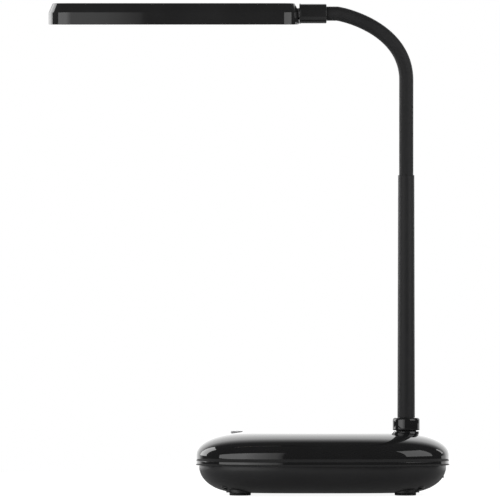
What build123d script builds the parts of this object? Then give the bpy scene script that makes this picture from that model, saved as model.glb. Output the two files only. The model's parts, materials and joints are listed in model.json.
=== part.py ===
from build123d import *
import os
from math import acos, asin, atan2, cos, degrees, pi, radians, sin

os.makedirs("parts", exist_ok=True)

# Desk lamp with a flexible neck. Millimetres. +Z is up, the head points to -X, the
# rear of the lamp is +X, and the origin is on the desk plane under the base's centre.

# ---- base: outline, heights and walls ----
base_length = 197.0
base_width = 124.0
outline_power = 3.0  # superellipse exponent of the plan outline
ground_gap = 1.7  # desk to the underside of the tray
tray_height = 21.5
tray_shoulder = 2.0  # upright band at the top of the tray
tray_step = 2.9  # tray set in from the trim ring
tray_curl = 29.0  # reach of the rounded underside
trim_height = 3.4
trim_width = 4.2
trim_rib = 1.0  # rib on the trim ring that locates the cover
trim_rib_height = 2.0
seam_round = 0.8  # rounding on both lips of the seam
cover_skirt = 3.7
dome_height = 18.1
dome_curl = 42.0  # reach of the cover's rounded shoulder
dome_power = 2.1
wall = 3.0
tray_wall = 2.5
fit_gap = 0.1  # assembly clearance, radial or axial
lip_height = 4.3  # spigot of the tray inside the trim ring
lip_wall = 1.6

# ---- base: fixings ----
base_screw_end = 24.5  # from the ends of the base
base_screw_side = 32.0  # from the long sides of the base
screw_column_r = 4.5
column_joint = 2.6  # tray and cover columns meet this far below the seam
screw_r = 1.5
screw_head_r = 2.8
screw_head_height = 2.0
screw_recess = 8.3  # seat of the base screws' heads above the tray's underside
base_screw_length = 22.0
thread_gap = 0.03

# ---- base: feet and counterweight ----
foot_end = 34.7
foot_side = 38.0
foot_r = 8.3
foot_taper = 0.4
foot_pocket_depth = 3.5  # above the underside of the tray
weight_rise = 3.3  # above the tray's floor
weight_thickness = 8.0
weight_inset = 24.0
weight_chamfer = 1.0
weight_screw_end = 24.5  # from the ends of the plate
weight_screw_side = 11.0
post_r = 4.0
weight_pilot_depth = 3.0
board_pilot_depth = 6.0

# ---- base: electronics ----
board_rise = 2.0  # above the counterweight
board_thickness = 1.6
board_end = 28.5  # from the front end of the base
board_length = 90.0
board_width = 50.0
board_screw_inset = 4.0
small_post_r = 3.0
connector_length = 10.0
connector_width = 16.0
connector_height = 8.0
connector_chamfer = 0.5
board_corner_r = 2.0
coil_place = 25.0  # from the front edge of the board
coil_r = 6.0
coil_height = 8.0
capacitor_place = 41.0
capacitor_r = 4.0
capacitor_height = 10.0
chip_place = 58.0
chip_side = 9.0
chip_height = 1.4
inlet_drop = 6.7  # axis of the supply socket below the top of the tray
inlet_body_width = 10.0
inlet_body_height = 11.0
inlet_body_length = 11.0
inlet_end = 12.0  # rear of its body from the rear end of the base
inlet_barrel_r = 3.9
inlet_barrel_length = 7.3
inlet_bore_r = 2.8
inlet_bore_depth = 10.0
inlet_pin_r = 1.05
inlet_pin_length = 9.0
inlet_lead_r = 1.5
inlet_lead_rise = 0.8  # above the board

# ---- push button ----
button_end = 32.1  # from the front end of the base
button_r = 4.8
button_rise = 0.4  # above the top of the cover
button_height = 5.1
button_gap = 0.3
button_flange_r = 6.2
button_flange_height = 1.2
button_travel = 0.6
button_boss_r = 9.0
button_boss_depth = 1.2  # below the button's flange
plunger_r = 1.7
plunger_length = 3.4
plunger_gap = 0.3
switch_side = 6.5
switch_height = 3.5
switch_well = 1.6  # depth of the plunger's well
switch_board_length = 30.0
switch_board_width = 20.0
switch_drop = 2.5  # switch below the button's flange
switch_pilot_depth = 4.5
switch_screw_x = 11.0  # from the button's axis
switch_lead_r = 1.2
switch_lead_place = 7.0  # behind the button's axis

# ---- neck: foot, collar and stiff lower part ----
neck_end = 33.8  # from the rear end of the base
seat_r = 10.2
seat_rise = 0.4  # above the top of the cover
gasket_thickness = 0.6
gasket_r = 7.8
collar_r = 10.65
collar_height = 10.1
collar_top_round = 2.2
collar_foot_round = 1.2
collar_recess = 5.0  # depth of the sleeve's seat in the collar
tube_r = 4.0
tube_bore_r = 2.7
tube_foot = 1.5  # tube below the nut
tube_length = 200.0
nut_boss_r = 11.0
nut_boss_depth = 6.3  # under the collar's seat
washer_thickness = 1.0
washer_r = 9.0
nut_width = 14.0  # across flats
nut_height = 5.0
sleeve_foot_r = 6.8
sleeve_top_r = 6.3
sleeve_rise = 12.0  # above the tube
sleeve_top_round = 0.5
stub_overlap = 10.0  # tube inside the neck's fixed stub
neck_lead_r = 1.6
neck_lead_rise = 5.4  # above the board
neck_lead_bend_r = 14.0

# ---- flexible neck ----
link_count = 13
neck_r = 5.5
lead_bore_r = 1.8
joint_gap = 3.3  # rim of a socket below its ball's centre
socket_gap = 0.08
first_joint_rise = 5.0  # above the lower sleeve
straight_rise = 73.5  # straight part of the neck above the lower sleeve
bend_upper_pull = 40.8
bend_head_pull = 3.0
bend_rise = 51.4
bend_reach = 53.7

# ---- head ----
connector_gap = 7.9  # from the last joint
connector_body = 21.2
connector_r = 7.7
flange_r = 8.0
flange_thickness = 1.3
connector_round = 0.7
tip_insert = 9.0  # neck inside the connector
head_gap = 0.1  # from the connector
head_width = 38.0
head_corner_r = 18.0  # nearly round ends, seen from above
head_drop = 8.5  # underside below the connector's axis
head_side_height = 9.4
head_top_rise = 7.2  # sloping upper part of the shell
head_slope_inset = 3.1
head_wall = 2.0
tenon_r = 4.6
tenon_bore_r = 2.4
tenon_reach = 21.8  # inside the head
tenon_gap = 0.05
clamp_length = 14.0
clamp_width = 24.0
clamp_foot = 1.5  # thickness of the clamp under the tenon
clamp_screw_y = 9.0
clamp_pilot_depth = 5.0
light_front_inset = 8.0  # lighting parts from the head's front wall
light_rear_inset = 32.0
window_lip = 2.05
bezel_thickness = 2.0
bezel_gap = 0.15
window_length = 150.0
window_width = 22.0
window_side_lip = 1.0
window_corner_r = 1.5
diffuser_thickness = 1.6
reflector_height = 4.2
led_board_thickness = 1.2
plate_thickness = 1.5
led_length = 3.5
led_width = 2.8
led_height = 0.8
led_columns = 14
led_end = 6.75  # middle of the last row from the window's end
led_row_gap = 12.0
head_screw_end = 11.05
head_post_r = 2.6
bezel_screw_r = 1.0
bezel_screw_head_r = 1.9
bezel_screw_head_height = 1.0
bezel_screw_length = 8.0
bezel_screw_y = 14.8
bezel_post_r = 2.4
head_pilot_depth = 4.4
bezel_screw_end = 10.0  # from the end of the lighting parts
head_lead_r = 1.5
terminal_length = 8.0
terminal_width = 10.0
terminal_height = 4.0

# ---- heights and places worked out from the sizes above ----
tray_top_z = ground_gap + tray_height
trim_top_z = tray_top_z + trim_height
dome_base_z = trim_top_z + cover_skirt
cover_top_z = dome_base_z + dome_height
tray_floor_z = ground_gap + wall
lip_inset = trim_width + fit_gap
column_joint_z = trim_top_z - column_joint
screw_recess_z = ground_gap + screw_recess
base_pilot_depth = screw_recess_z + base_screw_length + fit_gap - trim_top_z
foot_pocket_top_z = ground_gap + foot_pocket_depth
weight_z = tray_floor_z + weight_rise
weight_top_z = weight_z + weight_thickness
board_z = weight_top_z + board_rise
board_top_z = board_z + board_thickness

four_base_screws = GridLocations(
    base_length - 2 * base_screw_end, base_width - 2 * base_screw_side, 2, 2
).locations
four_feet = GridLocations(base_length - 2 * foot_end, base_width - 2 * foot_side, 2, 2).locations
four_weight_screws = GridLocations(
    base_length - 2 * (weight_inset + weight_screw_end),
    base_width - 2 * (weight_inset + weight_screw_side),
    2,
    2,
).locations

board_front_x = board_end - base_length / 2
board_rear_x = board_front_x + board_length
board_centre_x = (board_front_x + board_rear_x) / 2
four_board_screws = [
    Pos(board_centre_x, 0) * spot
    for spot in GridLocations(
        board_length - 2 * board_screw_inset, board_width - 2 * board_screw_inset, 2, 2
    ).locations
]
inlet_height = tray_top_z - inlet_drop
inlet_rear_x = base_length / 2 - inlet_end
inlet_barrel_end_x = inlet_rear_x + inlet_barrel_length
inlet_centre_x = inlet_rear_x - inlet_body_length / 2
inlet_foot_z = inlet_height - inlet_body_height / 2
inlet_lead_z = board_top_z + inlet_lead_rise

button_x = button_end - base_length / 2
button_top_z = cover_top_z + button_rise
button_flange_z = button_top_z - button_height
button_boss_z = button_flange_z - button_boss_depth
button_stop_z = button_flange_z + button_flange_height + fit_gap
switch_top_z = button_flange_z - switch_drop
switch_board_top_z = switch_top_z - switch_height
switch_board_z = switch_board_top_z - board_thickness
two_switch_screws = [Pos(button_x + side * switch_screw_x, 0) for side in (-1, 1)]

neck_x = base_length / 2 - neck_end
neck_spot = [Pos(neck_x, 0)]
seat_z = cover_top_z + seat_rise
nut_boss_z = seat_z - nut_boss_depth
tube_foot_z = nut_boss_z - washer_thickness - nut_height - tube_foot
collar_foot_z = seat_z + gasket_thickness
collar_top_z = collar_foot_z + collar_height
sleeve_foot_z = collar_top_z - collar_recess
tube_top_z = tube_foot_z + tube_length
stub_foot_z = tube_top_z - stub_overlap
sleeve_top_z = tube_top_z + sleeve_rise
neck_lead_z = board_top_z + neck_lead_rise
bend_start_z = sleeve_top_z + straight_rise
head_joint_x = neck_x - bend_reach
head_axis_z = bend_start_z + bend_rise

connector_rear_x = head_joint_x - connector_gap
connector_front_x = connector_rear_x - connector_body
tip_end_x = connector_rear_x - tip_insert
tenon_start_x = connector_front_x + tip_insert
head_rear_x = connector_front_x - head_gap
light_length = window_length + 2 * window_lip
light_width = window_width + 2 * window_side_lip
light_rear_x = head_rear_x - light_rear_inset
light_front_x = light_rear_x - light_length
light_centre_x = (light_front_x + light_rear_x) / 2
head_front_x = light_front_x - light_front_inset
head_length = head_rear_x - head_front_x
head_centre_x = (head_front_x + head_rear_x) / 2
head_bottom_z = head_axis_z - head_drop
head_shoulder_z = head_bottom_z + head_side_height
head_top_z = head_shoulder_z + head_top_rise
head_height = head_side_height + head_top_rise
head_slope = degrees(atan2(head_slope_inset, head_top_rise))
bezel_top_z = head_bottom_z + bezel_thickness
diffuser_top_z = bezel_top_z + diffuser_thickness
reflector_top_z = diffuser_top_z + reflector_height
led_board_top_z = reflector_top_z + led_board_thickness
plate_top_z = led_board_top_z + plate_thickness
led_pitch = (window_length - 2 * led_end) / (led_columns - 1)
tenon_end_x = head_rear_x - tenon_reach
clamp_centre_x = tenon_end_x + clamp_length / 2
clamp_foot_z = head_axis_z - tenon_r - clamp_foot
clamp_screw_spots = [Pos(clamp_centre_x, side * clamp_screw_y) for side in (-1, 1)]
head_screw_spots = [
    Pos(light_centre_x + step * (light_length / 2 - head_screw_end), 0) for step in (-1, 0, 1)
]
bezel_screw_spots = [
    Pos(light_centre_x, 0) * spot
    for spot in GridLocations(light_length - 2 * bezel_screw_end, 2 * bezel_screw_y, 2, 2).locations
]


def outline_points(inset):
    """Points of the base's plan outline, set in by the given distance."""
    half_length = base_length / 2 - inset
    half_width = base_width / 2 - inset
    points = []
    for step in range(24):
        turn = radians(15 * step)
        along = abs(cos(turn)) ** (2 / outline_power) * (1 if cos(turn) > 0 else -1)
        across = abs(sin(turn)) ** (2 / outline_power) * (1 if sin(turn) > 0 else -1)
        points.append((half_length * along, half_width * across))
    return points


def base_section(height, inset):
    """One level section of the base."""
    with BuildSketch(Plane.XY.offset(height)) as section:
        with BuildLine():
            Spline(*outline_points(inset), periodic=True)
        make_face()
    return section.sketch


def shoulder(reach, rise, power):
    """Steps (inset, climb) of a rounded shoulder, from its upright side to its level top."""
    steps = []
    for angle in (0, 18, 36, 54, 72, 90):
        inset = reach * (1 - abs(cos(radians(angle))) ** (2 / power))
        climb = rise * sin(radians(angle)) ** (2 / power)
        steps.append((inset, climb))
    return steps


def dome_sections(inset, rise):
    return [base_section(dome_base_z + z, inset + x) for x, z in shoulder(dome_curl, rise, dome_power)]


def tray_sections(inset, floor_z):
    top = tray_top_z - tray_shoulder
    return [base_section(top - z, inset + x) for x, z in shoulder(tray_curl, top - floor_z, 2)]


def save(part, node):
    part.label = node
    export_step(part, f"parts/{node}.step")


def discs(spots, radius, height):
    """Round outlines of one size at several places, on one level."""
    with BuildSketch(Plane.XY.offset(height)) as section:
        with Locations(*spots):
            Circle(radius)
    return section.sketch


def rings(spots, radius, bore_r, height):
    with BuildSketch(Plane.XY.offset(height)) as section:
        with Locations(*spots):
            Circle(radius)
            Circle(bore_r, mode=Mode.SUBTRACT)
    return section.sketch


def screws(spots, shank_r, head_r, head_height, length, seat, head_side):
    """Upright screws whose heads rest on a seat, above it (head_side 1) or below it (-1)."""
    with BuildPart() as group:
        extrude(discs(spots, head_r, seat), amount=head_side * head_height)
        extrude(discs(spots, shank_r, seat), amount=-head_side * length)
        end_edges = group.edges().group_by(Axis.Z)[-1 if head_side > 0 else 0]
        chamfer(end_edges, head_height / 4)
        extrude(
            discs(spots, shank_r * 0.6, seat + head_side * head_height / 2),
            amount=head_side * head_height,
            mode=Mode.SUBTRACT,
        )
    return group.part


def plate(centre_x, length, width, corner_r, height):
    """Level outline with rounded corners, centred on the lamp's middle plane."""
    with BuildSketch(Plane.XY.offset(height)) as section:
        with Locations((centre_x, 0)):
            RectangleRounded(length, width, corner_r)
    return section.sketch


# ================= base =================

# The tray's hollow, with its columns, posts and bosses left standing, and the holes below it
with BuildPart() as tray_hollow:
    extrude(base_section(tray_top_z - tray_shoulder, tray_step + tray_wall), amount=tray_shoulder)
    loft(tray_sections(tray_step + tray_wall, tray_floor_z))
    extrude(discs(four_base_screws, screw_column_r, 0), amount=column_joint_z, mode=Mode.SUBTRACT)
    extrude(discs(four_weight_screws, post_r, 0), amount=weight_z, mode=Mode.SUBTRACT)
    extrude(discs(four_board_screws, small_post_r, 0), amount=board_z, mode=Mode.SUBTRACT)
    extrude(discs(four_feet, foot_r + tray_wall, 0), amount=foot_pocket_top_z + tray_wall, mode=Mode.SUBTRACT)
    with Locations((inlet_centre_x, 0)):
        Box(
            inlet_body_length,
            inlet_body_width,
            inlet_foot_z,
            align=(Align.CENTER, Align.CENTER, Align.MIN),
            mode=Mode.SUBTRACT,
        )
    extrude(discs(four_feet, foot_r + fit_gap, 0), amount=foot_pocket_top_z)
    extrude(discs(four_base_screws, screw_r + 2 * fit_gap, 0), amount=column_joint_z)
    extrude(discs(four_base_screws, screw_head_r + 2 * fit_gap, 0), amount=screw_recess_z)
    extrude(discs(four_weight_screws, screw_r + thread_gap, weight_z), amount=-weight_pilot_depth)
    extrude(discs(four_board_screws, screw_r + thread_gap, board_z), amount=-board_pilot_depth)
    with BuildSketch(Plane.YZ.offset(inlet_rear_x)):
        with Locations((0, inlet_height)):
            Circle(inlet_barrel_r + fit_gap)
    extrude(amount=base_length / 2 - inlet_rear_x)

with BuildPart() as base_tray:
    extrude(base_section(tray_top_z, lip_inset), amount=lip_height)
    extrude(base_section(tray_top_z, lip_inset + lip_wall), amount=lip_height, mode=Mode.SUBTRACT)
    extrude(base_section(tray_top_z - tray_shoulder, tray_step), amount=tray_shoulder)
    loft(tray_sections(tray_step, ground_gap))
    add(tray_hollow.part, mode=Mode.SUBTRACT)
save(base_tray.part, "base_tray")

with BuildPart() as base_trim_ring:
    extrude(base_section(tray_top_z, 0), amount=trim_height)
    fillet(base_trim_ring.edges().group_by(Axis.Z)[-1], seam_round)
    extrude(base_section(tray_top_z, trim_width - trim_rib), amount=trim_height + trim_rib_height)
    extrude(base_section(tray_top_z, trim_width), amount=trim_height + trim_rib_height, mode=Mode.SUBTRACT)
save(base_trim_ring.part, "base_trim_ring")

# The cover's hollow, with its columns and bosses left hanging in it, and the cover's holes
with BuildPart() as cover_hollow:
    extrude(base_section(trim_top_z, wall), amount=cover_skirt)
    loft(dome_sections(wall, dome_height - wall))
    extrude(discs(four_base_screws, screw_column_r, trim_top_z), amount=dome_height, mode=Mode.SUBTRACT)
    extrude(discs([Pos(neck_x, 0)], nut_boss_r, nut_boss_z), amount=dome_height, mode=Mode.SUBTRACT)
    extrude(discs([Pos(button_x, 0)], button_boss_r, button_boss_z), amount=dome_height, mode=Mode.SUBTRACT)
    extrude(discs(two_switch_screws, small_post_r, switch_board_top_z), amount=dome_height, mode=Mode.SUBTRACT)
    extrude(discs([Pos(neck_x, 0)], tube_r + fit_gap, nut_boss_z), amount=seat_z - nut_boss_z)
    extrude(discs([Pos(button_x, 0)], button_r + button_gap, button_boss_z), amount=dome_height)
    extrude(
        discs([Pos(button_x, 0)], button_flange_r + button_gap, button_boss_z),
        amount=button_stop_z - button_boss_z,
    )
    extrude(discs(two_switch_screws, screw_r + thread_gap, switch_board_top_z), amount=switch_pilot_depth)
    extrude(discs(four_base_screws, screw_r + thread_gap, trim_top_z), amount=base_pilot_depth)

with BuildPart() as base_cover:
    extrude(base_section(trim_top_z, 0), amount=cover_skirt)
    fillet(base_cover.edges().group_by(Axis.Z)[0], seam_round)
    loft(dome_sections(0, dome_height))
    extrude(discs([Pos(neck_x, 0)], seat_r, dome_base_z), amount=seat_z - dome_base_z)
    add(cover_hollow.part, mode=Mode.SUBTRACT)
    extrude(
        rings(four_base_screws, screw_column_r, screw_r + thread_gap, column_joint_z),
        amount=trim_top_z - column_joint_z,
    )
save(base_cover.part, "base_cover")

# Cast plate that keeps the lamp from tipping, cut away around the tray's columns
with BuildPart() as counterweight:
    extrude(base_section(weight_z, weight_inset), amount=weight_thickness)
    chamfer(counterweight.edges().group_by(Axis.Z)[-1], weight_chamfer)
    with Locations(*[Pos(0, 0, weight_top_z) * spot for spot in four_weight_screws]):
        CounterBoreHole(screw_r + 2 * fit_gap, screw_head_r + 2 * fit_gap, screw_head_height, weight_thickness)
    extrude(
        discs(four_board_screws, small_post_r + 5 * fit_gap, weight_z),
        amount=weight_thickness,
        mode=Mode.SUBTRACT,
    )
save(counterweight.part, "counterweight")

with BuildPart() as foot_pads:
    extrude(discs(four_feet, foot_r, 0), amount=foot_pocket_top_z)
    chamfer(foot_pads.edges().group_by(Axis.Z)[0], foot_taper)
save(foot_pads.part, "foot_pads")

save(
    screws(four_base_screws, screw_r, screw_head_r, screw_head_height, base_screw_length, screw_recess_z, -1),
    "base_screws",
)
save(
    screws(
        four_weight_screws,
        screw_r,
        screw_head_r,
        screw_head_height,
        weight_thickness - screw_head_height + weight_pilot_depth - fit_gap,
        weight_top_z - screw_head_height,
        1,
    ),
    "weight_screws",
)

# ================= electronics in the base =================

with BuildPart() as driver_board:
    extrude(plate(board_centre_x, board_length, board_width, board_corner_r, board_z), amount=board_thickness)
    with Locations(*[Pos(0, 0, board_top_z) * spot for spot in four_board_screws]):
        Hole(screw_r + 2 * fit_gap)
save(driver_board.part, "driver_board")

save(
    screws(
        four_board_screws,
        screw_r,
        screw_head_r,
        screw_head_height,
        board_thickness + board_pilot_depth - fit_gap,
        board_top_z,
        1,
    ),
    "board_screws",
)

# Coil, capacitor and control chip on the driver board
with BuildPart() as board_parts:
    with Locations((board_front_x + coil_place, 0, board_top_z)):
        Cylinder(coil_r, coil_height, align=(Align.CENTER, Align.CENTER, Align.MIN))
    with Locations((board_front_x + capacitor_place, 0, board_top_z)):
        Cylinder(capacitor_r, capacitor_height, align=(Align.CENTER, Align.CENTER, Align.MIN))
    with Locations((board_front_x + chip_place, 0, board_top_z)):
        Box(chip_side, chip_side, chip_height, align=(Align.CENTER, Align.CENTER, Align.MIN))
save(board_parts.part, "board_parts")

with BuildPart() as lead_connector:
    with Locations((board_rear_x - connector_length / 2, 0, board_top_z)):
        Box(connector_length, connector_width, connector_height, align=(Align.CENTER, Align.CENTER, Align.MIN))
    chamfer(lead_connector.edges().group_by(Axis.Z)[-1], connector_chamfer)
save(lead_connector.part, "lead_connector")

with BuildPart() as inlet_socket:
    with Locations((inlet_centre_x, 0, inlet_height)):
        Box(inlet_body_length, inlet_body_width, inlet_body_height)
    with BuildSketch(Plane.YZ.offset(inlet_rear_x)):
        with Locations((0, inlet_height)):
            Circle(inlet_barrel_r)
    extrude(amount=inlet_barrel_end_x - inlet_rear_x)
    with BuildSketch(Plane.YZ.offset(inlet_barrel_end_x)):
        with Locations((0, inlet_height)):
            Circle(inlet_bore_r)
    extrude(amount=-inlet_bore_depth, mode=Mode.SUBTRACT)
save(inlet_socket.part, "inlet_socket")

with BuildPart() as inlet_pin:
    with BuildSketch(Plane.YZ.offset(inlet_barrel_end_x - inlet_bore_depth)):
        with Locations((0, inlet_height)):
            Circle(inlet_pin_r)
    extrude(amount=inlet_pin_length)
    fillet(inlet_pin.edges().group_by(Axis.X)[-1], inlet_pin_r / 2)
save(inlet_pin.part, "inlet_pin")

with BuildPart() as inlet_lead:
    with BuildSketch(Plane.YZ.offset(board_rear_x)):
        with Locations((0, inlet_lead_z)):
            Circle(inlet_lead_r)
    extrude(amount=inlet_rear_x - inlet_body_length - board_rear_x)
save(inlet_lead.part, "inlet_lead")

with BuildPart() as switch_board:
    extrude(
        plate(button_x, switch_board_length, switch_board_width, board_corner_r, switch_board_z),
        amount=board_thickness,
    )
    with Locations(*[Pos(0, 0, switch_board_top_z) * spot for spot in two_switch_screws]):
        Hole(screw_r + 2 * fit_gap)
save(switch_board.part, "switch_board")

save(
    screws(
        two_switch_screws,
        screw_r,
        screw_head_r,
        screw_head_height,
        board_thickness + switch_pilot_depth - fit_gap,
        switch_board_z,
        -1,
    ),
    "switch_screws",
)

with BuildPart() as switch_body:
    with Locations((button_x, 0, switch_board_top_z)):
        Box(switch_side, switch_side, switch_height, align=(Align.CENTER, Align.CENTER, Align.MIN))
    extrude(
        discs([Pos(button_x, 0)], plunger_r + plunger_gap, switch_top_z),
        amount=-switch_well,
        mode=Mode.SUBTRACT,
    )
save(switch_body.part, "switch_body")

with BuildPart() as switch_lead:
    extrude(
        discs([Pos(button_x + switch_lead_place, 0)], switch_lead_r, board_top_z),
        amount=switch_board_z - board_top_z,
    )
save(switch_lead.part, "switch_lead")

# ================= push button =================

with BuildPart() as button_cap:
    extrude(discs([Pos(button_x, 0)], button_flange_r, button_flange_z), amount=button_flange_height)
    extrude(
        discs([Pos(button_x, 0)], button_r, button_flange_z),
        amount=button_top_z - button_flange_z,
    )
    fillet(button_cap.edges().group_by(Axis.Z)[-1], seam_round)
save(button_cap.part, "button_cap")

with BuildPart() as switch_plunger:
    extrude(discs([Pos(button_x, 0)], plunger_r, button_flange_z), amount=-plunger_length)
save(switch_plunger.part, "switch_plunger")

# ================= neck: foot and stiff lower part =================

with BuildPart() as collar_gasket:
    extrude(rings(neck_spot, gasket_r, tube_r + fit_gap, seat_z), amount=gasket_thickness)
save(collar_gasket.part, "collar_gasket")

with BuildPart() as neck_collar:
    extrude(discs(neck_spot, collar_r, collar_foot_z), amount=collar_height)
    fillet(neck_collar.edges().group_by(Axis.Z)[-1], collar_top_round)
    fillet(neck_collar.edges().group_by(Axis.Z)[0], collar_foot_round)
    extrude(discs(neck_spot, sleeve_foot_r + fit_gap, sleeve_foot_z), amount=collar_recess, mode=Mode.SUBTRACT)
    extrude(discs(neck_spot, tube_r + fit_gap, collar_foot_z), amount=collar_height, mode=Mode.SUBTRACT)
save(neck_collar.part, "neck_collar")

with BuildPart() as neck_washer:
    extrude(rings(neck_spot, washer_r, tube_r + fit_gap, nut_boss_z), amount=-washer_thickness)
save(neck_washer.part, "neck_washer")

with BuildPart() as neck_nut:
    with BuildSketch(Plane.XY.offset(nut_boss_z - washer_thickness)):
        with Locations(*neck_spot):
            RegularPolygon(nut_width / 2, 6, major_radius=False)
            Circle(tube_r + thread_gap, mode=Mode.SUBTRACT)
    extrude(amount=-nut_height)
save(neck_nut.part, "neck_nut")

with BuildPart() as neck_tube:
    extrude(rings(neck_spot, tube_r, tube_bore_r, tube_foot_z), amount=tube_length)
save(neck_tube.part, "neck_tube")

# Stiff sleeve round the tube, slightly tapered, that grips the flexible neck's stub at its top
with BuildPart() as lower_sleeve:
    with Locations((neck_x, 0, sleeve_foot_z)):
        Cone(
            sleeve_foot_r,
            sleeve_top_r,
            sleeve_top_z - sleeve_foot_z,
            align=(Align.CENTER, Align.CENTER, Align.MIN),
        )
    fillet(lower_sleeve.edges().group_by(Axis.Z)[-1], sleeve_top_round)
    extrude(discs(neck_spot, tube_r + fit_gap, sleeve_foot_z), amount=tube_length, mode=Mode.SUBTRACT)
    extrude(discs(neck_spot, neck_r + fit_gap, stub_foot_z), amount=tube_length, mode=Mode.SUBTRACT)
save(lower_sleeve.part, "lower_sleeve")

with BuildPart() as neck_lead:
    with BuildLine():
        FilletPolyline(
            (board_rear_x, 0, neck_lead_z),
            (neck_x, 0, neck_lead_z),
            (neck_x, 0, sleeve_top_z - sleeve_top_round),
            radius=neck_lead_bend_r,
        )
    with BuildSketch(Plane.YZ.offset(board_rear_x)):
        with Locations((0, neck_lead_z)):
            Circle(neck_lead_r)
    sweep()
save(neck_lead.part, "neck_lead")

# ================= flexible neck =================

# Joints are spread evenly along the neck's centreline, which rises and then curves to the head
first_joint_z = sleeve_top_z + first_joint_rise
with BuildLine() as centreline:
    Line((neck_x, 0, first_joint_z), (neck_x, 0, bend_start_z))
    Bezier(
        (neck_x, 0, bend_start_z),
        (neck_x, 0, bend_start_z + bend_upper_pull),
        (head_joint_x + bend_head_pull, 0, head_axis_z),
        (head_joint_x, 0, head_axis_z),
    )
neck_line = centreline.wire()
joint_places = [
    neck_line.position_at(neck_line.length * n / link_count, position_mode=PositionMode.LENGTH)
    for n in range(link_count + 1)
]
socket_r = neck_r + socket_gap
ball_turn = degrees(acos(lead_bore_r / neck_r))
socket_rim_turn = -degrees(asin(joint_gap / socket_r))
socket_bore_turn = -degrees(acos(lead_bore_r / socket_r))


def neck_piece(place, lean, length, ends_in_socket):
    """A length of the neck turned round its own axis, with the ball at the given place.

    The lean is its tilt from the vertical towards -X. Its other end is a socket for the
    next ball, or a plain end.
    """
    with BuildPart() as piece:
        with BuildSketch(Plane(origin=place, x_dir=(cos(lean), 0, sin(lean)), z_dir=(0, -1, 0))):
            with BuildLine():
                ball = CenterArc((0, 0), neck_r, -ball_turn, ball_turn)
                side = Line(ball @ 1, (neck_r, length - joint_gap * ends_in_socket))
                if ends_in_socket:
                    socket = CenterArc(
                        (0, length), socket_r, socket_bore_turn, socket_rim_turn - socket_bore_turn
                    )
                    Line(side @ 1, socket @ 1)
                    Line(socket @ 0, ball @ 0)
                else:
                    Polyline(side @ 1, (lead_bore_r, length), ball @ 0)
            make_face()
        revolve(axis=Axis(place, (-sin(lean), 0, cos(lean))))
    return piece.part


# Fixed stub on the steel tube, with the first socket
with BuildPart() as gooseneck_root:
    extrude(rings(neck_spot, neck_r, lead_bore_r, stub_foot_z), amount=first_joint_z - joint_gap - stub_foot_z)
    extrude(
        discs(neck_spot, tube_r + fit_gap, stub_foot_z),
        amount=stub_overlap + fit_gap,
        mode=Mode.SUBTRACT,
    )
    with Locations((neck_x, 0, first_joint_z)):
        Sphere(socket_r, mode=Mode.SUBTRACT)
save(gooseneck_root.part, "gooseneck_root")

for n in range(1, link_count + 1):
    here = joint_places[n - 1]
    step = joint_places[n] - here
    lean = atan2(-step.X, step.Z)
    save(neck_piece(here, lean, step.length, True), f"gooseneck_link_{n:02d}")
    print(f"joint {n} at {here.X:.4f} {here.Z:.4f} lean {degrees(lean):.4f}")
print(f"joint {link_count + 1} at {joint_places[-1].X:.4f} {joint_places[-1].Z:.4f} lean 90")

save(neck_piece(joint_places[-1], pi / 2, head_joint_x - tip_end_x, False), "gooseneck_tip")

# ================= head: connector =================


def along_head(radius, start_x, end_x, mode=Mode.ADD):
    """A round bar or bore on the head's axis."""
    with BuildSketch(Plane.YZ.offset(start_x)) as section:
        with Locations((0, head_axis_z)):
            Circle(radius)
    return extrude(section.sketch, amount=end_x - start_x, mode=mode)


with BuildPart() as head_connector:
    along_head(connector_r, connector_front_x, connector_rear_x)
    fillet(head_connector.edges().group_by(Axis.X)[-1], connector_round)
    along_head(flange_r, connector_front_x, connector_front_x + flange_thickness)
    along_head(neck_r + fit_gap, connector_rear_x, tip_end_x, Mode.SUBTRACT)
    along_head(tenon_r + tenon_gap, connector_front_x, tenon_start_x, Mode.SUBTRACT)
    along_head(tenon_bore_r, connector_front_x, connector_rear_x, Mode.SUBTRACT)
save(head_connector.part, "head_connector")

with BuildPart() as head_tenon:
    along_head(tenon_r, tenon_start_x, tenon_end_x)
    along_head(tenon_bore_r, tenon_start_x, tenon_end_x, Mode.SUBTRACT)
save(head_tenon.part, "head_tenon")

with BuildPart() as tenon_clamp:
    with Locations((clamp_centre_x, 0, clamp_foot_z)):
        Box(
            clamp_length,
            clamp_width,
            head_axis_z - fit_gap - clamp_foot_z,
            align=(Align.CENTER, Align.CENTER, Align.MIN),
        )
    along_head(tenon_r + tenon_gap, tenon_end_x, head_rear_x, Mode.SUBTRACT)
    extrude(discs(clamp_screw_spots, screw_r + 2 * fit_gap, clamp_foot_z), amount=head_side_height, mode=Mode.SUBTRACT)
    extrude(
        discs(clamp_screw_spots, screw_head_r + 2 * fit_gap, clamp_foot_z),
        amount=screw_head_height,
        mode=Mode.SUBTRACT,
    )
save(tenon_clamp.part, "tenon_clamp")

clamp_seat_z = clamp_foot_z + screw_head_height
save(
    screws(
        clamp_screw_spots,
        screw_r,
        screw_head_r,
        screw_head_height,
        head_axis_z - clamp_seat_z + clamp_pilot_depth - fit_gap,
        clamp_seat_z,
        -1,
    ),
    "clamp_screws",
)

with BuildPart() as head_lead:
    along_head(head_lead_r, tip_end_x, light_rear_x + terminal_length)
save(head_lead.part, "head_lead")

with BuildPart() as head_terminal:
    with Locations((light_rear_x + terminal_length / 2, 0, head_axis_z)):
        Box(terminal_length, terminal_width, terminal_height)
save(head_terminal.part, "head_terminal")

# ================= head: shell and lighting parts =================

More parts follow.
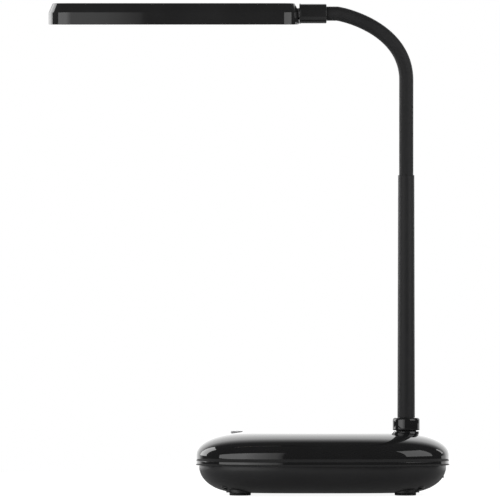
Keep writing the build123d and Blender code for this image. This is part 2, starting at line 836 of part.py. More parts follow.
# The shell's hollow, with the posts, the saddle over the tenon and their screw holes
with BuildPart() as head_hollow:
    inner_length = head_length - 2 * head_wall
    inner_width = head_width - 2 * head_wall
    inner_r = head_corner_r - head_wall
    extrude(plate(head_centre_x, inner_length, inner_width, inner_r, head_bottom_z), amount=head_side_height)
    extrude(
        plate(head_centre_x, inner_length, inner_width, inner_r, head_shoulder_z),
        amount=head_top_rise - head_wall,
        taper=head_slope,
    )
    extrude(discs(head_screw_spots, head_post_r, plate_top_z), amount=head_top_rise, mode=Mode.SUBTRACT)
    extrude(discs(bezel_screw_spots, bezel_post_r, bezel_top_z), amount=head_height, mode=Mode.SUBTRACT)
    with Locations((clamp_centre_x, 0, head_axis_z)):
        Box(
            clamp_length,
            clamp_width,
            head_height,
            align=(Align.CENTER, Align.CENTER, Align.MIN),
            mode=Mode.SUBTRACT,
        )
    extrude(discs(head_screw_spots, screw_r + thread_gap, plate_top_z), amount=head_pilot_depth)
    extrude(discs(clamp_screw_spots, screw_r + thread_gap, head_axis_z), amount=clamp_pilot_depth)
    extrude(
        discs(bezel_screw_spots, bezel_screw_r + thread_gap, bezel_top_z),
        amount=head_bottom_z + bezel_screw_head_height + bezel_screw_length + fit_gap - bezel_top_z,
    )
    along_head(tenon_r + tenon_gap, tenon_end_x, head_rear_x)

with BuildPart() as head_shell:
    extrude(
        plate(head_centre_x, head_length, head_width, head_corner_r, head_bottom_z), amount=head_side_height
    )
    extrude(
        plate(head_centre_x, head_length, head_width, head_corner_r, head_shoulder_z),
        amount=head_top_rise,
        taper=head_slope,
    )
    add(head_hollow.part, mode=Mode.SUBTRACT)
save(head_shell.part, "head_shell")

with BuildPart() as head_bezel:
    extrude(
        plate(
            head_centre_x,
            inner_length - 2 * bezel_gap,
            inner_width - 2 * bezel_gap,
            inner_r - bezel_gap,
            head_bottom_z,
        ),
        amount=bezel_thickness,
    )
    extrude(
        plate(light_centre_x, window_length, window_width, window_corner_r, head_bottom_z),
        amount=bezel_thickness,
        mode=Mode.SUBTRACT,
    )
    extrude(
        discs(bezel_screw_spots, bezel_screw_r + 2 * fit_gap, head_bottom_z),
        amount=bezel_thickness,
        mode=Mode.SUBTRACT,
    )
    extrude(
        discs(bezel_screw_spots, bezel_screw_head_r + 2 * fit_gap, head_bottom_z),
        amount=bezel_screw_head_height,
        mode=Mode.SUBTRACT,
    )
save(head_bezel.part, "head_bezel")

save(
    screws(
        bezel_screw_spots,
        bezel_screw_r,
        bezel_screw_head_r,
        bezel_screw_head_height,
        bezel_screw_length,
        head_bottom_z + bezel_screw_head_height,
        -1,
    ),
    "bezel_screws",
)

with BuildPart() as diffuser:
    extrude(
        plate(light_centre_x, light_length, light_width, window_corner_r, bezel_top_z),
        amount=diffuser_thickness,
    )
save(diffuser.part, "diffuser")

with BuildPart() as reflector:
    extrude(
        plate(light_centre_x, light_length, light_width, window_corner_r, diffuser_top_z),
        amount=reflector_height,
    )
    extrude(
        plate(light_centre_x, window_length, window_width, window_corner_r / 2, diffuser_top_z),
        amount=reflector_height,
        mode=Mode.SUBTRACT,
    )
save(reflector.part, "reflector")

with BuildPart() as led_board:
    extrude(
        plate(light_centre_x, light_length, light_width, window_corner_r, reflector_top_z),
        amount=led_board_thickness,
    )
    extrude(
        discs(head_screw_spots, screw_r + 2 * fit_gap, reflector_top_z),
        amount=led_board_thickness,
        mode=Mode.SUBTRACT,
    )
save(led_board.part, "led_board")

with BuildPart() as led_chips:
    with BuildSketch(Plane.XY.offset(reflector_top_z)):
        with Locations((light_centre_x, 0)):
            with GridLocations(led_pitch, led_row_gap, led_columns, 2):
                Rectangle(led_length, led_width)
    extrude(amount=-led_height)
save(led_chips.part, "led_chips")

with BuildPart() as heat_plate:
    extrude(
        plate(light_centre_x, light_length, light_width, window_corner_r, led_board_top_z),
        amount=plate_thickness,
    )
    extrude(
        discs(head_screw_spots, screw_r + 2 * fit_gap, led_board_top_z),
        amount=plate_thickness,
        mode=Mode.SUBTRACT,
    )
save(heat_plate.part, "heat_plate")

save(
    screws(
        head_screw_spots,
        screw_r,
        screw_head_r,
        screw_head_height,
        led_board_thickness + plate_thickness + head_pilot_depth - fit_gap,
        reflector_top_z,
        -1,
    ),
    "head_screws",
)
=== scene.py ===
import json
from math import atan2, cos, pi, radians, sin, tan

import bmesh
import bpy
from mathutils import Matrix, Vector


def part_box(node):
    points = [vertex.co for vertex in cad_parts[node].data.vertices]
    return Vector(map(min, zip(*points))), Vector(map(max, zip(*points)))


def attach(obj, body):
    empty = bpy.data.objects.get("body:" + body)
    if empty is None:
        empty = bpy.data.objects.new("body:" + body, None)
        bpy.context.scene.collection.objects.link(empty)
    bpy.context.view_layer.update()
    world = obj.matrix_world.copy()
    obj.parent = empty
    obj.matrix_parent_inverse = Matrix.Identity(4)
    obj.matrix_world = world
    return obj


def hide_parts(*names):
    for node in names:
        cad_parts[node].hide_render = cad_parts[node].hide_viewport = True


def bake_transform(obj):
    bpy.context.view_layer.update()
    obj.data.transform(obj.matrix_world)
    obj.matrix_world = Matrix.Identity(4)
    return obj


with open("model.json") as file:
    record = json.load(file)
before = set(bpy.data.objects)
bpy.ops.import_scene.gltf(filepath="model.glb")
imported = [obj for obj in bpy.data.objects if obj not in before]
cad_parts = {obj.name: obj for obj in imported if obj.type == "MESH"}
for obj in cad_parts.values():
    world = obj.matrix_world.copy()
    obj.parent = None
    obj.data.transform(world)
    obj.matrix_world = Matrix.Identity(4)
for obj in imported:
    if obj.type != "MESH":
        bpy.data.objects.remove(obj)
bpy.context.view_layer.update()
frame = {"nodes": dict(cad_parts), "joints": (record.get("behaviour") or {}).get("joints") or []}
nodes = frame["nodes"]
mm = 0.001
weld = 0.0005 * mm  # corners nearer than this are one corner
holeSides = 64


def reach(node):
    low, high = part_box(node)
    names = "front", "near", "bottom", "rear", "far", "top"
    return {name: value / mm for name, value in zip(names, (*low, *high))}


print("frame loaded,", len(nodes), "CAD nodes")


# The camera stands far off and a little above the desk, square to the lamp's side

cameraPlan = dict(aimX=-56.2, aimZ=189.0, distance=9000.0, fieldWidth=387.0, elevation=1.0, sensor=36.0,
                  farClip=50000.0)


def makeCamera(plan):
    camera = bpy.data.cameras.new("lampCamera")
    camera.sensor_width = plan["sensor"]
    camera.lens = plan["sensor"] * plan["distance"] / plan["fieldWidth"]
    camera.clip_end = plan["farClip"] * mm
    holder = bpy.data.objects.new("lampCamera", camera)
    bpy.context.scene.collection.objects.link(holder)
    tilt = radians(plan["elevation"])
    back = Vector((0, -cos(tilt), sin(tilt))) * plan["distance"]
    holder.location = (Vector((plan["aimX"], 0, plan["aimZ"])) + back) * mm
    holder.rotation_euler = (radians(90) - tilt, 0, 0)
    bpy.context.scene.camera = holder


makeCamera(cameraPlan)
print("camera placed")


# Small helpers for shader and geometry trees

def put(tree, kind, inputs=None, **settings):
    node = tree.nodes.new(kind)
    for key, value in settings.items():
        setattr(node, key, value)
    for key, value in (inputs or {}).items():
        if isinstance(value, bpy.types.NodeSocket):
            tree.links.new(value, node.inputs[key])
        else:
            node.inputs[key].default_value = value
    return node


def calc(tree, operation, first, second):
    return put(tree, "ShaderNodeMath", {0: first, 1: second}, operation=operation).outputs[0]


def spread(tree, value, low, high, toLow, toHigh):
    node = put(tree, "ShaderNodeMapRange", {"Value": value, "From Min": low, "From Max": high,
                                            "To Min": toLow, "To Max": toHigh})
    return node.outputs["Result"]


# Studio: a bright wall behind the lamp, a few soft boxes near it and a pale floor. Azimuth is in
# degrees from +Y towards +X, and a box stands square to the line from the point it is aimed at.

studio = dict(
    ambient=0.08,
    wallGlow=1.8,
    wallEdge=64.0,  # the wall's glow ends this far from +Y
    wallFull=40.0,  # and is full within this
    floorColour=0.35,
    floorGlow=0.92,  # as the camera sees it
    floorMirror=0.12,  # as glossy pieces see it
    floorRadius=520.0,
    floorSides=96,
    floorDrop=0.2,  # keeps it clear of the undersides of the feet
    softBoxes=dict(
        backLeft=dict(aimX=-120, azimuth=-59, distance=700, width=390, bottom=60, top=820,
                      glow=(4.5, 4.5)),
        backRight=dict(aimX=60, azimuth=58, distance=700, width=90, bottom=180, top=520, glow=(3, 3)),
        lowRight=dict(aimX=88, azimuth=58, distance=400, width=140, bottom=2, top=46, glow=(1.3, 1.3)),
        frontLeft=dict(aimX=-1530, azimuth=180, distance=1084, width=2740, bottom=-80, top=955,
                       glow=(2.5, 0.8), fade=560, tail=45, tailShare=0.45),
        frontRight=dict(aimX=40, azimuth=121, distance=600, width=500, bottom=85, top=830,
                        glow=(2.1, 2.1)),
    ),
)


def makeWorld(plan):
    world = bpy.data.worlds.new("studio")
    bpy.context.scene.world = world
    world.use_nodes = True
    tree = world.node_tree
    tree.nodes.clear()
    where = put(tree, "ShaderNodeTexCoord").outputs["Generated"]
    ahead = put(tree, "ShaderNodeSeparateXYZ", {"Vector": where}).outputs["Y"]
    wall = spread(tree, ahead, cos(radians(plan["wallEdge"])), cos(radians(plan["wallFull"])), 0, 1)
    wall = calc(tree, "MULTIPLY", calc(tree, "MULTIPLY", wall, wall), plan["wallGlow"])
    glow = calc(tree, "ADD", wall, plan["ambient"])
    seen = put(tree, "ShaderNodeLightPath").outputs["Is Camera Ray"]
    strength = put(tree, "ShaderNodeMix", {0: seen, 2: glow, 3: 1.0}).outputs[0]
    light = put(tree, "ShaderNodeBackground", {"Color": (1, 1, 1, 1), "Strength": strength})
    put(tree, "ShaderNodeOutputWorld", {"Surface": light.outputs[0]})


def stagePiece(name, corners, material):
    mesh = bpy.data.meshes.new(name)
    mesh.from_pydata([Vector(corner) * mm for corner in corners], [], [range(len(corners))])
    mesh.materials.append(material)
    holder = bpy.data.objects.new(name, mesh)
    bpy.context.scene.collection.objects.link(holder)
    return holder


def makeFloor(plan):
    paint = bpy.data.materials.new("studioFloor")
    paint.use_nodes = True
    tree = paint.node_tree
    tree.nodes.clear()
    grey = plan["floorColour"]
    dull = put(tree, "ShaderNodeBsdfDiffuse", {"Color": (grey, grey, grey, 1)})
    path = put(tree, "ShaderNodeLightPath")
    mirrored = calc(tree, "MAXIMUM", path.outputs["Is Glossy Ray"], path.outputs["Is Transmission Ray"])
    glow = calc(tree, "MULTIPLY", path.outputs["Is Camera Ray"], plan["floorGlow"])
    glow = calc(tree, "ADD", glow, calc(tree, "MULTIPLY", mirrored, plan["floorMirror"]))
    shine = put(tree, "ShaderNodeEmission", {"Strength": glow})
    both = put(tree, "ShaderNodeAddShader", {0: dull.outputs[0], 1: shine.outputs[0]})
    below = put(tree, "ShaderNodeNewGeometry").outputs["Backfacing"]
    below = calc(tree, "MULTIPLY", below, path.outputs["Is Camera Ray"])
    clear = put(tree, "ShaderNodeBsdfTransparent")
    sides = put(tree, "ShaderNodeMixShader", {0: below, 1: both.outputs[0], 2: clear.outputs[0]})
    put(tree, "ShaderNodeOutputMaterial", {"Surface": sides.outputs[0]})
    turns = [2 * pi * step / plan["floorSides"] for step in range(plan["floorSides"])]
    radius, level = plan["floorRadius"], -plan["floorDrop"]
    corners = [(radius * cos(turn), radius * sin(turn), level) for turn in turns]
    stagePiece("studioFloor", corners, paint)


def makeSoftBox(name, plan):
    turn = radians(plan["azimuth"])
    middle = Vector((plan["aimX"] + plan["distance"] * sin(turn), plan["distance"] * cos(turn), 0))
    side = Vector((cos(turn), -sin(turn), 0)) * plan["width"] / 2
    left, right = sorted((middle - side, middle + side), key=lambda end: end.x)
    corners = [(*end.xy, plan[level]) for end, level in
               ((left, "bottom"), (right, "bottom"), (right, "top"), (left, "top"))]
    paint = bpy.data.materials.new(name)
    paint.use_nodes = True
    tree = paint.node_tree
    tree.nodes.clear()
    place = put(tree, "ShaderNodeTexCoord").outputs["Object"]
    along = put(tree, "ShaderNodeSeparateXYZ", {"Vector": place}).outputs["X"]
    fade = plan.get("fade", right.x - left.x)
    glow = spread(tree, along, (right.x - fade) * mm, right.x * mm, *plan["glow"])  # left end first
    if "tail" in plan:
        tail = spread(tree, along, (right.x - plan["tail"]) * mm, right.x * mm, 1, plan["tailShare"])
        glow = calc(tree, "MULTIPLY", glow, tail)
    shine = put(tree, "ShaderNodeEmission", {"Strength": glow})
    put(tree, "ShaderNodeOutputMaterial", {"Surface": shine.outputs[0]})
    stagePiece(name, corners, paint).visible_camera = False


makeWorld(studio)
makeFloor(studio)
for boxName, boxPlan in studio["softBoxes"].items():
    makeSoftBox("softBox" + boxName[0].upper() + boxName[1:], boxPlan)
bpy.context.scene.view_settings.view_transform = "Standard"
print("studio lit")


# Finishes. Colours are linear; each is broken up by two sizes of grain, which also move the
# roughness and lift the surface a little. Grain sizes are in millimetres.

grainPlan = dict(fineDetail=3.0, broadDetail=4.0, fineShare=0.4, low=0.35, high=0.65, coatRough=0.04,
                 softDepth=2.0)


def makeFinish(name, colour, darker=0.75, rough=(0.3, 0.4), grain=0.6, mottle=12.0, lift=0.1,
               liftDepth=0.02, metal=0.0, coat=0.0, stretch=(1, 1, 1), specular=0.5, soft=0.0):
    plan = grainPlan
    paint = bpy.data.materials.new(name)
    paint.use_nodes = True
    tree = paint.node_tree
    tree.nodes.clear()
    place = put(tree, "ShaderNodeTexCoord").outputs["Object"]
    place = put(tree, "ShaderNodeMapping", {"Vector": place, "Scale": stretch}).outputs["Vector"]
    fine = put(tree, "ShaderNodeTexNoise", {"Vector": place, "Scale": 1 / (grain * mm),
                                            "Detail": plan["fineDetail"]}).outputs["Fac"]
    broad = put(tree, "ShaderNodeTexNoise", {"Vector": place, "Scale": 1 / (mottle * mm),
                                             "Detail": plan["broadDetail"]}).outputs["Fac"]
    both = calc(tree, "ADD", calc(tree, "MULTIPLY", fine, plan["fineShare"]),
                calc(tree, "MULTIPLY", broad, 1 - plan["fineShare"]))
    share = spread(tree, both, plan["low"], plan["high"], 0, 1)
    dark = tuple(part * darker for part in colour)
    tint = put(tree, "ShaderNodeMix", {0: share, 6: (*dark, 1), 7: (*colour, 1)}, data_type="RGBA")
    roughness = spread(tree, both, plan["low"], plan["high"], *rough)
    bump = put(tree, "ShaderNodeBump", {"Strength": lift, "Distance": liftDepth * mm, "Height": fine})
    inputs = {
        "Base Color": tint.outputs[2], "Roughness": roughness, "Normal": bump.outputs["Normal"],
        "Metallic": metal, "Coat Weight": coat, "Specular IOR Level": specular,
    }
    if coat:
        inputs["Coat Roughness"] = plan["coatRough"]
    if soft:
        inputs["Subsurface Weight"] = soft
        inputs["Subsurface Scale"] = plan["softDepth"] * mm
    shader = put(tree, "ShaderNodeBsdfPrincipled", inputs)
    put(tree, "ShaderNodeOutputMaterial", {"Surface": shader.outputs[0]})
    return paint


finishes = {
    "gloss_black": makeFinish("pianoBlack", (0.0155, 0.0155, 0.016), rough=(0.02, 0.07), grain=0.9,
                              mottle=30, lift=0.02, liftDepth=0.004),
    "head_black": makeFinish("headBlack", (0.026, 0.026, 0.0265), rough=(0.02, 0.07), grain=0.9,
                             mottle=30, lift=0.02, liftDepth=0.004),
    "sleeve_satin": makeFinish("sleeveSatin", (0.024, 0.024, 0.025), rough=(0.45, 0.55), grain=0.35,
                               mottle=12, lift=0.2, liftDepth=0.015, specular=0.22),
    "satin_black": makeFinish("satinBlack", (0.021, 0.021, 0.022), rough=(0.3, 0.42), grain=0.35,
                              mottle=15, lift=0.25, liftDepth=0.02),
    "sleeve_rubber": makeFinish("sleeveSilicone", (0.03, 0.03, 0.031), rough=(0.55, 0.68), grain=0.4,
                                mottle=9, lift=0.3, liftDepth=0.02, specular=0.18),
    "black_rubber": makeFinish("footRubber", (0.02, 0.02, 0.02), rough=(0.65, 0.8), grain=0.3,
                               mottle=6, lift=0.5, liftDepth=0.03),
    "lead_rubber": makeFinish("leadRubber", (0.03, 0.03, 0.032), rough=(0.45, 0.6), grain=0.3,
                              mottle=5),
    "button_grey": makeFinish("buttonGrey", (0.43, 0.43, 0.44), darker=0.9, rough=(0.45, 0.55),
                              grain=0.3, mottle=4, lift=0.15, liftDepth=0.01, specular=0.25),
    "iron": makeFinish("castIron", (0.09, 0.09, 0.095), darker=0.55, rough=(0.5, 0.75), grain=0.8,
                       mottle=8, lift=0.8, liftDepth=0.08, metal=0.8),
    "screw_steel": makeFinish("zincSteel", (0.42, 0.42, 0.43), darker=0.8, rough=(0.25, 0.4), grain=0.2,
                              mottle=3, metal=1.0),
    "tube_steel": makeFinish("plainSteel", (0.45, 0.45, 0.46), darker=0.85, rough=(0.25, 0.38),
                             grain=0.15, mottle=6, metal=1.0, stretch=(1, 1, 0.06)),
    "board_green": makeFinish("solderMask", (0.02, 0.11, 0.05), darker=0.8, rough=(0.2, 0.35),
                              grain=0.5, mottle=5, coat=0.3),
    "component_black": makeFinish("mouldedBlack", (0.025, 0.025, 0.026), rough=(0.4, 0.55), grain=0.25,
                                  mottle=4, lift=0.3),
    "connector_white": makeFinish("nylonWhite", (0.7, 0.69, 0.64), darker=0.93, rough=(0.35, 0.5),
                                  grain=0.3, mottle=4),
    "pin_brass": makeFinish("nickelBrass", (0.6, 0.45, 0.2), darker=0.85, rough=(0.2, 0.3), grain=0.1,
                            mottle=2, metal=1.0),
    "diffuser_white": makeFinish("opalAcrylic", (0.82, 0.82, 0.8), darker=0.96, rough=(0.35, 0.45),
                                 grain=0.5, mottle=20, lift=0.08, liftDepth=0.01, soft=0.25),
    "reflector_white": makeFinish("reflectorWhite", (0.85, 0.85, 0.84), darker=0.95, rough=(0.5, 0.6),
                                  grain=0.4, mottle=8),
    "phosphor_yellow": makeFinish("ledPhosphor", (0.8, 0.6, 0.12), darker=0.85, rough=(0.4, 0.55),
                                  grain=0.2, mottle=2),
    "plate_aluminium": makeFinish("millAluminium", (0.6, 0.6, 0.61), darker=0.85, rough=(0.3, 0.45),
                                  grain=0.2, mottle=10, metal=1.0, stretch=(0.08, 1, 1)),
}

for node in nodes.values():
    for holder in node.material_slots:
        holder.material = finishes[holder.material.name.split(".")[0]]
print("finishes made")


# Shapes. A profile is a list of pairs in millimetres: an inset or a radius, then the place along
# the piece's axis. A ring is the outline at one pair, and rings in a row make one closed skin.

def softened(corners, radii, steps=5, closed=False):
    result = []
    for place, corner in enumerate(corners):
        radius = radii[place]
        if not radius or (not closed and place in (0, len(corners) - 1)):
            result.append(tuple(corner))
            continue
        corner = Vector(corner)
        before = (Vector(corners[place - 1]) - corner).normalized()
        after = (Vector(corners[(place + 1) % len(corners)]) - corner).normalized()
        half = before.angle(after) / 2
        centre = corner + (before + after).normalized() * radius / sin(half)
        start = corner + before * radius / tan(half) - centre
        end = corner + after * radius / tan(half) - centre
        turn = atan2(start.x * end.y - start.y * end.x, start.dot(end))
        for step in range(steps + 1):
            angle = turn * step / steps
            arm = Vector((start.x * cos(angle) - start.y * sin(angle),
                          start.x * sin(angle) + start.y * cos(angle)))
            result.append(tuple(centre + arm))
    return result


def ovalRing(plan, inset, height):
    ring = []
    power = plan["power"]
    for step in range(plan["around"]):
        turn = 2 * pi * (step + 0.5) / plan["around"]
        size = (abs(cos(turn)) ** power + abs(sin(turn)) ** power) ** (-1 / power)
        ring.append(((plan["halfLength"] - inset) * size * cos(turn),
                     (plan["halfWidth"] - inset) * size * sin(turn), height))
    return ring


def barRing(plan, inset, height):
    ring = []
    radius = plan["corner"] - inset
    halfX = (plan["rear"] - plan["front"]) / 2 - inset - radius
    halfY = plan["width"] / 2 - inset - radius
    for quarter, (sideX, sideY) in enumerate(((1, 1), (-1, 1), (-1, -1), (1, -1))):
        for step in range(plan["cornerSteps"] + 1):
            turn = pi / 2 * (quarter + step / plan["cornerSteps"])
            ring.append(((plan["rear"] + plan["front"]) / 2 + sideX * halfX + radius * cos(turn),
                         sideY * halfY + radius * sin(turn), height))
    return ring


def uprightRing(plan, radius, height):
    turns = [2 * pi * step / plan["around"] for step in range(plan["around"])]
    return [(plan["axisX"] + radius * cos(turn), radius * sin(turn), height) for turn in turns]


def levelRing(plan, radius, along):
    turns = [2 * pi * step / plan["around"] for step in range(plan["around"])]
    return [(along, radius * cos(turn), plan["axisZ"] + radius * sin(turn)) for turn in turns]


def skin(rings, closed=False):
    shape = bmesh.new()
    rows = [[shape.verts.new(Vector(point) * mm) for point in ring] for ring in rings]
    count = len(rows[0])
    for place in range(len(rows) if closed else len(rows) - 1):
        here, there = rows[place], rows[(place + 1) % len(rows)]
        for step in range(count):
            after = (step + 1) % count
            shape.faces.new((here[step], here[after], there[after], there[step]))
    if not closed:
        shape.faces.new(rows[0])
        shape.faces.new(rows[-1])
    bmesh.ops.remove_doubles(shape, verts=shape.verts, dist=weld)
    bmesh.ops.recalc_face_normals(shape, faces=shape.faces)
    mesh = bpy.data.meshes.new("skin")
    shape.to_mesh(mesh)
    shape.free()
    return mesh


def cut(mesh, cutters, operation="DIFFERENCE"):
    target = bpy.data.objects.new("target", mesh)
    tool = bpy.data.objects.new("tool", cutters)
    for holder in (target, tool):
        bpy.context.scene.collection.objects.link(holder)
    knife = target.modifiers.new("cut", "BOOLEAN")
    knife.object, knife.operation, knife.solver = tool, operation, "EXACT"
    graph = bpy.context.evaluated_depsgraph_get()
    result = bpy.data.meshes.new_from_object(target.evaluated_get(graph), depsgraph=graph)
    for holder in (target, tool):
        bpy.data.objects.remove(holder)
    return result


def joined(meshes):
    shape = bmesh.new()
    for mesh in meshes:
        shape.from_mesh(mesh)
    result = bpy.data.meshes.new("joined")
    shape.to_mesh(result)
    shape.free()
    return result


def addPiece(name, mesh, slot, body, standsFor=(), finish=None, sharp=32.0):
    mesh.name = name
    mesh.shade_smooth()
    mesh.set_sharp_from_angle(angle=radians(sharp))
    mesh.materials.clear()
    mesh.materials.append(finishes[finish or slot])
    piece = bpy.data.objects.new(name, mesh)
    bpy.context.scene.collection.objects.link(piece)
    if body:
        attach(piece, body)
    if standsFor:
        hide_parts(*standsFor)
    return piece


# Base: the domed cover, the trim ring under the seam and the rounded tray

collarBox = reach("neck_collar")
neckX = (collarBox["front"] + collarBox["rear"]) / 2
tubeBore = 4.1  # clears the steel tube through cover, pad, collar and sleeve

basePlan = dict(halfLength=98.4, halfWidth=62.0, power=3.0, around=192)

coverPlan = dict(foot=26.6, skirt=30.3, top=48.4, depth=42.0, shoulderPower=2.1, wall=3.0,
                 lipRound=0.2, shoulderSteps=36, buttonHole=5.1, buttonX=-66.4, overcut=5.0)

trimPlan = dict(bottom=23.2, top=26.6, width=4.2, topRound=0.2, footRound=0.2)

trayPlan = dict(bottom=1.7, top=23.2, inset=2.9, band=2.0, depth=29.0, shoulderSteps=30, floor=4.7,
                wall=2.5, footHole=8.4, footHoleTop=5.2, bossRadius=10.8, bossFoot=2.2, bossTop=7.7,
                recess=3.0, recessTop=10.0, screwHole=1.7, screwHoleTop=25.0, columnRadius=4.5,
                columnFoot=6.0, columnTop=24.0, inletHole=4.0, inletZ=16.5, inletFrom=86.5,
                inletTo=106.5, undercut=5.0)


def fourSpots(x, y):
    return [(sideX * x, sideY * y) for sideX in (-1, 1) for sideY in (-1, 1)]


footSpots = fourSpots(63.8, 24.0)
screwSpots = fourSpots(74.0, 30.0)


def curl(depth, rise, power, steps, inset, start):
    result = []
    for step in range(steps + 1):
        turn = pi / 2 * step / steps
        result.append((inset + depth * (1 - max(cos(turn), 0) ** (2 / power)),
                       start + rise * sin(turn) ** (2 / power)))
    return result


def drum(centreX, centreY, radius, low, high):
    plan = dict(axisX=centreX, around=holeSides)
    rings = [uprightRing(plan, radius, height) for height in (low, high)]
    return skin([[(x, y + centreY, z) for x, y, z in ring] for ring in rings])


def makeCover(plan):
    rise = plan["top"] - plan["skirt"]
    lip = softened([(plan["wall"], plan["foot"]), (0, plan["foot"]), (0, plan["skirt"])],
                   [0, plan["lipRound"], 0])
    outer = lip[:-1] + curl(plan["depth"], rise, plan["shoulderPower"], plan["shoulderSteps"], 0,
                            plan["skirt"])
    inner = curl(plan["depth"], rise - plan["wall"], plan["shoulderPower"], plan["shoulderSteps"],
                 plan["wall"], plan["skirt"])
    mesh = skin([ovalRing(basePlan, *pair) for pair in inner[::-1] + outer])
    above = plan["top"] + plan["overcut"]
    holes = [drum(plan["buttonX"], 0, plan["buttonHole"], plan["skirt"], above),
             drum(neckX, 0, tubeBore, plan["skirt"], above)]
    addPiece("baseCover", cut(mesh, joined(holes)), "gloss_black", "base", ["base_cover"])


def makeTrim(plan):
    corners = [(0, plan["bottom"]), (0, plan["top"]), (plan["width"], plan["top"]),
               (plan["width"], plan["bottom"])]
    profile = softened(corners, [plan["footRound"], plan["topRound"], 0, 0], closed=True)
    mesh = skin([ovalRing(basePlan, *pair) for pair in profile], closed=True)
    addPiece("trimRing", mesh, "gloss_black", "base", ["base_trim_ring"])


def makeTray(plan):
    shoulder = plan["top"] - plan["band"]
    inset, thick = plan["inset"], plan["inset"] + plan["wall"]
    outer = curl(plan["depth"], plan["bottom"] - shoulder, 2, plan["shoulderSteps"], inset, shoulder)
    inner = curl(plan["depth"], plan["floor"] - shoulder, 2, plan["shoulderSteps"], thick, shoulder)
    profile = outer[::-1] + [(inset, plan["top"]), (thick, plan["top"])] + inner
    mesh = skin([ovalRing(basePlan, *pair) for pair in profile])
    for spots, radius, foot, top in (
            (footSpots, plan["bossRadius"], plan["bossFoot"], plan["bossTop"]),
            (screwSpots, plan["columnRadius"], plan["columnFoot"], plan["columnTop"])):
        mesh = cut(mesh, joined([drum(*spot, radius, foot, top) for spot in spots]), "UNION")
    under = plan["bottom"] - plan["undercut"]
    for spots, radius, top in ((footSpots, plan["footHole"], plan["footHoleTop"]),
                               (screwSpots, plan["recess"], plan["recessTop"]),
                               (screwSpots, plan["screwHole"], plan["screwHoleTop"])):
        mesh = cut(mesh, joined([drum(*spot, radius, under, top) for spot in spots]))
    inletPlan = dict(axisZ=plan["inletZ"], around=holeSides)
    inlet = skin([levelRing(inletPlan, plan["inletHole"], along)
                  for along in (plan["inletFrom"], plan["inletTo"])])
    addPiece("baseTray", cut(mesh, inlet), "satin_black", "base", ["base_tray"])


makeCover(coverPlan)
makeTrim(trimPlan)
makeTray(trayPlan)
print("base made")


# The pad under the collar, the collar and the lower sleeve, all turned about the neck's axis

sleeveBox = reach("lower_sleeve")
rootBox = reach("gooseneck_root")
sleeveRadius = sleeveBox["rear"] - neckX
neckRadius = (rootBox["rear"] - rootBox["front"]) / 2
play = 0.1  # between a sleeve and the socket it stands in

neckFoot = dict(axisX=neckX, around=96)

padPlan = dict(low=44.0, top=48.8, radius=10.2, edge=0.4)

collarPlan = dict(foot=collarBox["bottom"], top=collarBox["top"], radius=collarBox["rear"] - neckX,
                  seat=sleeveRadius + play, seatFloor=sleeveBox["bottom"], topRound=2.2, footRound=1.2,
                  boreRound=0.3, roundSteps=10)

sleevePlan = dict(foot=sleeveBox["bottom"], top=sleeveBox["top"], footRadius=sleeveRadius, taper=0.5,
                  topRound=0.5, roundSteps=6, stubBore=neckRadius + play, stubFoot=225.0)


def makePad(plan):
    corners = [(tubeBore, plan["low"]), (plan["radius"], plan["low"]), (plan["radius"], plan["top"]),
               (tubeBore, plan["top"])]
    profile = softened(corners, [0, 0, plan["edge"], 0], closed=True)
    mesh = skin([uprightRing(neckFoot, *pair) for pair in profile], closed=True)
    addPiece("coverPad", mesh, "gloss_black", "base")


def makeCollar(plan):
    corners = [(tubeBore, plan["foot"]), (plan["radius"], plan["foot"]), (plan["radius"], plan["top"]),
               (plan["seat"], plan["top"]), (plan["seat"], plan["seatFloor"]),
               (tubeBore, plan["seatFloor"])]
    radii = [0, plan["footRound"], plan["topRound"], plan["boreRound"], 0, 0]
    profile = softened(corners, radii, plan["roundSteps"], closed=True)
    mesh = skin([uprightRing(neckFoot, *pair) for pair in profile], closed=True)
    addPiece("neckCollar", mesh, "gloss_black", "base", ["neck_collar"])


def makeSleeve(plan):
    corners = [(tubeBore, plan["foot"]), (plan["footRadius"], plan["foot"]),
               (plan["footRadius"] - plan["taper"], plan["top"]), (plan["stubBore"], plan["top"]),
               (plan["stubBore"], plan["stubFoot"]), (tubeBore, plan["stubFoot"])]
    profile = softened(corners, [0, 0, plan["topRound"], 0, 0, 0], plan["roundSteps"], closed=True)
    mesh = skin([uprightRing(neckFoot, *pair) for pair in profile], closed=True)
    addPiece("lowerSleeve", mesh, "satin_black", "base", ["lower_sleeve"], "sleeve_satin")


makePad(padPlan)
makeCollar(collarPlan)
makeSleeve(sleevePlan)
print("collar and lower sleeve made")


# Geometry trees. A named size is set on the modifier by its socket's identifier, and the result
# is kept as a plain mesh.

def newTree(name, sizes):
    tree = bpy.data.node_groups.new(name, "GeometryNodeTree")
    tree.interface.new_socket("Geometry", in_out="INPUT", socket_type="NodeSocketGeometry")
    for label, kind in sizes.items():
        tree.interface.new_socket(label, in_out="INPUT", socket_type="NodeSocket" + kind)
    tree.interface.new_socket("Geometry", in_out="OUTPUT", socket_type="NodeSocketGeometry")
    return tree, put(tree, "NodeGroupInput").outputs


def endTree(tree, geometry, ground):
    real = put(tree, "GeometryNodeRealizeInstances", {"Geometry": geometry}).outputs[0]
    painted = put(tree, "GeometryNodeSetMaterial", {"Geometry": real, "Material": ground["Material"]})
    put(tree, "NodeGroupOutput", {"Geometry": painted.outputs[0]})


